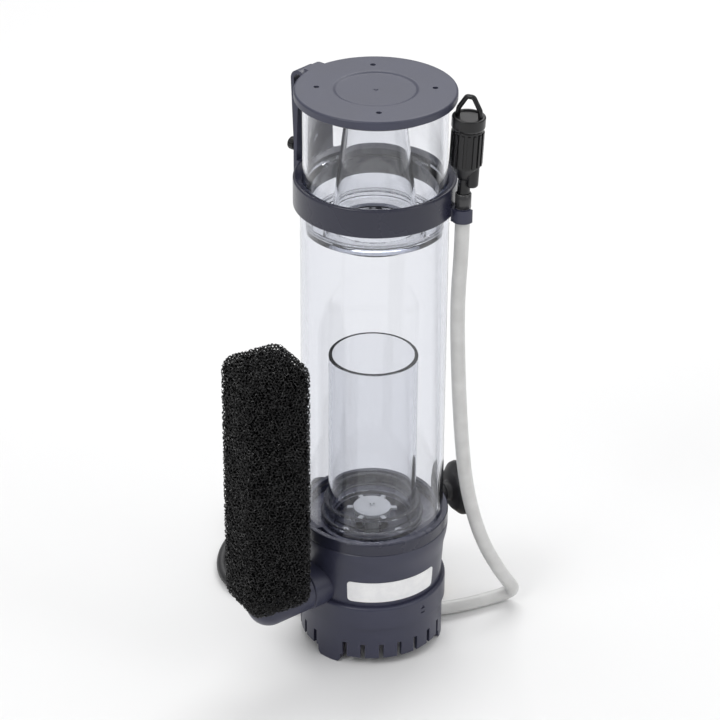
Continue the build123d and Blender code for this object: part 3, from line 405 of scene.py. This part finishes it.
# ---- Cords ----------------------------------------------------------------------------------
def spline_cord(name, points, diameter, look, slot, *nodes):
    """A smooth round cord along given control points."""
    curve = bpy.data.curves.new(name, "CURVE")
    curve.dimensions = "3D"
    spline = curve.splines.new("NURBS")
    spline.points.add(len(points) - 1)
    for point, place in zip(spline.points, points):
        point.co = (*place, 1)
    spline.order_u = 3
    spline.use_endpoint_u = True
    spline.resolution_u = 10
    curve.bevel_depth = diameter / 2
    curve.bevel_resolution = 6
    curve.use_fill_caps = True
    curve.materials.append(materials[look])
    cord = bpy.data.objects.new(name, curve)
    bpy.context.collection.objects.link(cord)
    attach(cord, "skimmer")
    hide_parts(*nodes)
    print(name, "length", round(spline.calc_length(), 4))
    return cord


def make_barb():
    """The silencer's dark hose barb, showing through the top of the hose."""
    sides = 40
    top = Vector(hose_route[0])
    low, high = barb_bottom, top.z
    radius = hose_diameter / 2 + barb_clearance
    soft = 0.0004
    points = []
    for reach, height in ((radius - soft, low), (radius, low + soft), (radius, high - soft),
                          (radius - soft, high)):
        for index in range(sides):
            angle = 2 * math.pi * index / sides
            points.append((top.x + reach * math.cos(angle), top.y + reach * math.sin(angle),
                           height))
    faces = [tuple(reversed(range(sides))), tuple(range(3 * sides, 4 * sides))]
    for level in range(3):
        for index in range(sides):
            here, after = level * sides + index, level * sides + (index + 1) % sides
            faces.append((here, after, after + sides, here + sides))
    mesh_piece("hose_barb_sleeve", points, faces, "barb", "skimmer", "silicone")


def smooth_step(value):
    """0 to 1 with a soft start and end."""
    value = min(max(value, 0.0), 1.0)
    return value * value * (3 - 2 * value)


def coil_points():
    """The wound lead: inwards on the floor, and outwards again on top of those turns.

    The innermost turn is shared by both layers, so each of them holds less than a whole turn
    of it, and the coil ends where the tail leaves it."""
    radii = coil_radii + coil_radii[::-1]
    total = 2 * math.pi * (len(radii) - 1) + coil_start - coil_end
    count = round(total / (2 * math.pi) * points_per_turn)
    inner_stay = (total / (2 * math.pi) - len(radii) + 2) / 2
    ends, passed = [], 0.0
    for radius in radii:
        passed += inner_stay if radius == min(radii) else 1.0
        ends.append(passed)
    points = []
    for index in range(count + 1):
        turned = total * index / count / (2 * math.pi)
        level = next((i for i, end in enumerate(ends) if turned < end), len(ends) - 1)
        change = 0.0
        if level < len(ends) - 1:
            change = smooth_step((turned - ends[level] + crossover) / crossover)
        following = min(level + 1, len(ends) - 1)
        radius = radii[level] + (radii[following] - radii[level]) * change
        if level == len(coil_radii) - 1:
            raised = change
        else:
            raised = float(level >= len(coil_radii))
        angle = coil_start - 2 * math.pi * turned
        height = cord_diameter * (first_layer + raised)
        across = Vector((radius * math.cos(angle), radius * math.sin(angle), height))
        points.append(coil_centre + across)
    return [tuple(point) for point in points]


def make_cords():
    """The air hose and the mains lead with its coil; the plug is the frame's own."""
    hose = spline_cord("air_hose_tube", hose_route, hose_diameter, "silicone", "silicone",
                       "air_hose")
    lead_points = cord_route + coil_points() + tail_route
    lead = spline_cord("mains_lead", lead_points, cord_diameter, "lead", "black_rubber",
                       "power_cord", "cord_coil", "cord_tail")


def make_tie():
    """A flat strap round the coil's section."""
    inner = coil_radii[-1] - cord_diameter / 2 - 0.0003
    outer = coil_radii[0] + cord_diameter / 2 + 0.0003
    top = cord_diameter * 2.02
    low = 0.0002
    rounding = 0.003
    outline = []
    for corner_x, corner_z, start in ((outer, top, 0), (inner, top, 90), (inner, low, 180),
                                      (outer, low, 270)):
        centre_x = corner_x - math.copysign(rounding, corner_x - (inner + outer) / 2)
        centre_z = corner_z - math.copysign(rounding, corner_z - (top + low) / 2)
        for step in range(5):
            angle = math.radians(start + 22.5 * step)
            outline.append((centre_x, centre_z, math.cos(angle), math.sin(angle)))
    along = outward(tie_azimuth)
    side = Vector((0, 0, 1)).cross(along)
    points = []
    for x, z, nx, nz in outline:
        for half in (-tie_width / 2, tie_width / 2):
            for reach in (rounding, rounding + tie_gauge * (0.0 if nz < -0.3 else 1.0)):
                spot = coil_centre + along * (x + nx * reach) + side * half
                spot.z = max(z + nz * reach, 0.0001)
                points.append(tuple(spot))
    count = len(outline)
    faces = []
    for index in range(count):
        here, after = 4 * index, 4 * ((index + 1) % count)
        for first, second in ((0, 1), (1, 3), (3, 2), (2, 0)):
            faces.append((here + first, here + second, after + second, after + first))
    mesh_piece("coil_tie", points, faces, "rubber", "skimmer", "black_plastic", "cord_tie",
               smooth=False)


# ---- Foam block -----------------------------------------------------------------------------
def rounded_box_depth(points, half, rounding):
    """How deep each point lies under the surface of a rounded box; negative outside."""
    q = np.abs(points) - (np.array(half) - rounding)
    outside = np.linalg.norm(np.maximum(q, 0), axis=1)
    inside = np.minimum(q.max(axis=1), 0)
    return rounding - outside - inside


def foam_vertices(half, rng):
    """Integer places and positions of the joints of an open-cell lattice, in the block's frame."""
    step = foam_cell / 4
    tilt = np.array(Matrix.Rotation(0.42, 3, "X") @ Matrix.Rotation(0.5, 3, "Z"))
    reach = np.abs(tilt.T) @ (np.array(half) + foam_cell)
    spans = [np.arange(-math.ceil(r / step), math.ceil(r / step) + 1) for r in reach]
    grid = np.stack(np.meshgrid(*spans, indexing="ij"), axis=-1)
    rest = grid % 4
    joint = ((rest % 2 == 1).sum(-1) == 1) & ((rest == 0).sum(-1) == 1)
    position = grid @ tilt.T * step
    wave = position * (2 * math.pi / warp_length)
    warp = np.stack([np.sin(wave[..., 1] + 1.3 * wave[..., 2]),
                     np.sin(1.2 * wave[..., 2] - wave[..., 0]),
                     np.sin(0.9 * wave[..., 0] + 1.1 * wave[..., 1])], axis=-1)
    position = position + 0.22 * foam_cell * warp
    position = position + rng.uniform(-0.9, 0.9, position.shape) * step
    return joint, position


def riser_roof(floor):
    """The height, in the block's frame, at which the hole for the riser ends."""
    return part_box("outlet_riser")[1][2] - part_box("sponge")[0][2] + floor + 0.001


def in_recess(points, floor):
    """Whether points lie in the hole for the riser or the hollow over the elbow."""
    radius = np.hypot(points[:, 0], points[:, 1])
    inward = -outward(outlet_azimuth)
    turned = Matrix.Rotation(-block_turn(), 3, "Z") @ inward
    along = points[:, 0] * turned.x + points[:, 1] * turned.y
    across = np.abs(points[:, 0] * turned.y - points[:, 1] * turned.x)
    hollow = (radius < recess_radius) | ((along > 0) & (across < recess_radius))
    hole = (radius < riser_gap_radius) & (points[:, 2] < riser_roof(floor))
    return hole | (hollow & (points[:, 2] < floor + recess_height))


def block_turn():
    """The block's turn about Z: its X side faces the sponge's azimuth."""
    facing = outward(sponge_azimuth)
    return math.atan2(facing.y, facing.x)


def strut_mesh(starts, ends, rng):
    """Closed three-sided struts between pairs of points."""
    count = len(starts)
    along = ends - starts
    along /= np.linalg.norm(along, axis=1, keepdims=True)
    helper = rng.normal(size=(count, 3))
    side = np.cross(along, helper)
    side /= np.linalg.norm(side, axis=1, keepdims=True)
    third = np.cross(along, side)
    thick = strut_radius * rng.uniform(0.8, 1.3, (count, 1))
    points = np.empty((count, 6, 3))
    for corner in range(3):
        angle = 2 * math.pi * corner / 3
        offset = (side * math.cos(angle) + third * math.sin(angle)) * thick
        points[:, corner] = starts + offset - along * strut_radius * 0.4
        points[:, corner + 3] = ends + offset + along * strut_radius * 0.4
    pattern = [(0, 1, 4, 3), (1, 2, 5, 4), (2, 0, 3, 5)]
    caps = [(2, 1, 0), (3, 4, 5)]
    base = (np.arange(count) * 6)[:, None]
    quads = np.concatenate([base + np.array(face) for face in pattern])
    ends_ = np.concatenate([base + np.array(face) for face in caps])
    return points.reshape(-1, 3), quads.tolist() + ends_.tolist()


def make_foam():
    """The black foam block: an open skeleton over a dark core."""
    low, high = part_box("sponge")
    centre = (Vector(low) + Vector(high)) / 2
    half = (sponge_side / 2, sponge_side / 2, (high[2] - low[2]) / 2)
    rng = np.random.default_rng(7)
    joint, position = foam_vertices(half, rng)
    flat = position.reshape(-1, 3)
    depth = rounded_box_depth(flat, half, sponge_rounding)
    floor = -half[2]
    near_floor = flat[:, 2] < floor + recess_height + core_gap
    thick = np.where(near_floor, deep_foam, foam_depth)
    kept = joint.reshape(-1) & (depth > 0.0002) & (depth < thick) & ~in_recess(flat, floor)
    kept = kept.reshape(joint.shape)
    shape = np.array(joint.shape)
    starts, ends = [], []
    for step in ((1, 1, 0), (1, -1, 0), (1, 0, 1), (1, 0, -1), (0, 1, 1), (0, 1, -1)):
        here = tuple(slice(max(0, -s), shape[i] - max(0, s)) for i, s in enumerate(step))
        there = tuple(slice(max(0, s), shape[i] + min(0, s)) for i, s in enumerate(step))
        both = kept[here] & kept[there]
        starts.append(position[here][both])
        ends.append(position[there][both])
    starts, ends = np.concatenate(starts), np.concatenate(ends)
    turn = np.array(Matrix.Rotation(block_turn(), 3, "Z"))
    band = ((starts[:, 2] + half[2]) / (2 * half[2]) * foam_bands).astype(int)
    for number in range(foam_bands):
        chosen = band == number
        points, faces = strut_mesh(starts[chosen], ends[chosen], rng)
        points = points @ turn.T + np.array(centre)
        stands_for = ("sponge",) if number == 0 else ()
        piece = mesh_piece(f"foam_skeleton_{number + 1}", points.tolist(), faces, "foam",
                           "bubble_trap", "foam", *stands_for, smooth=False)
    core_points, core_faces = core_mesh(half)
    core_points = np.array(core_points) @ turn.T + np.array(centre)
    mesh_piece("foam_core", core_points.tolist(), core_faces, "foam_core", "bubble_trap", "foam",
               smooth=False)
    print("foam struts", len(starts))


def core_mesh(half):
    """The dark inside of the foam, hollow for the riser."""
    inset = foam_depth * core_inset
    side = half[0] - inset
    bottom, top = -half[2] + recess_height + core_gap, half[2] - inset
    roof = riser_roof(-half[2])
    rings = []
    for radius_at, height in (("hole", roof), ("hole", bottom), ("block", bottom),
                              ("block", top - core_shoulder), ("shoulder", top)):
        ring = []
        for index in range(core_sides):
            angle = 2 * math.pi * index / core_sides
            unit = Vector((math.cos(angle), math.sin(angle)))
            if radius_at == "hole":
                reach = riser_gap_radius
            else:
                across = side - (core_shoulder if radius_at == "shoulder" else 0.0)
                squared = abs(unit.x) ** core_squareness + abs(unit.y) ** core_squareness
                reach = across / squared ** (1 / core_squareness)
            ring.append((unit.x * reach, unit.y * reach, height))
        rings.append(ring)
    points = [point for ring in rings for point in ring]
    last = len(rings) - 1
    top_ring = range(last * core_sides, len(rings) * core_sides)
    faces = [tuple(range(core_sides)), tuple(reversed(top_ring))]
    for level in range(last):
        here = level * core_sides
        above = here + core_sides
        for index in range(core_sides):
            after = (index + 1) % core_sides
            faces.append((here + index, above + index, above + after, here + after))
    return points, [tuple(reversed(face)) for face in faces]


# ---- Stage ----------------------------------------------------------------------------------
def make_stage():
    """A pale floor, soft lights and a pale surrounding."""
    mesh = bpy.data.meshes.new("floor")
    size = 6.0
    mesh.from_pydata([(-size, -size, 0), (size, -size, 0), (size, size, 0), (-size, size, 0)], [],
                     [(0, 1, 2, 3)])
    material, _, shader, _ = new_material("floor")
    shader.inputs["Base Color"].default_value = (0.86, 0.86, 0.86, 1)
    shader.inputs["Roughness"].default_value = 0.9
    mesh.materials.append(material)
    floor = bpy.data.objects.new("floor", mesh)
    bpy.context.collection.objects.link(floor)
    world = bpy.data.worlds.new("surround")
    world.use_nodes = True
    tree = world.node_tree
    place = tree.nodes.new("ShaderNodeTexCoord")
    parts = tree.nodes.new("ShaderNodeSeparateXYZ")
    tree.links.new(place.outputs["Generated"], parts.inputs["Vector"])
    sky = blend_colour(tree, parts.outputs["Z"], horizon, zenith, (0.0, 0.55))
    tree.links.new(sky, tree.nodes["Background"].inputs["Color"])
    tree.nodes["Background"].inputs["Strength"].default_value = sky_strength
    bpy.context.scene.world = world
    for name, place, size_x, size_y, power in (
        ("key", (-0.9, -0.9, 1.5), 0.7, 0.7, 9),
        ("fill", (1.2, -0.7, 0.9), 0.5, 1.2, 3),
        ("back", (0.2, 1.2, 1.6), 1.4, 0.7, 14),
    ):
        data = bpy.data.lights.new(name, "AREA")
        data.shape = "RECTANGLE"
        data.size = size_x
        data.size_y = size_y
        data.energy = power
        light = bpy.data.objects.new(name, data)
        bpy.context.collection.objects.link(light)
        light.location = place
        aim = Vector((0, 0, 0.15)) - Vector(place)
        light.rotation_euler = aim.to_track_quat("-Z", "Y").to_euler()
    bpy.context.scene.view_settings.view_transform = "Standard"


make_cords()
make_barb()
make_tie()
dress_nodes()
make_foam()
make_stage()
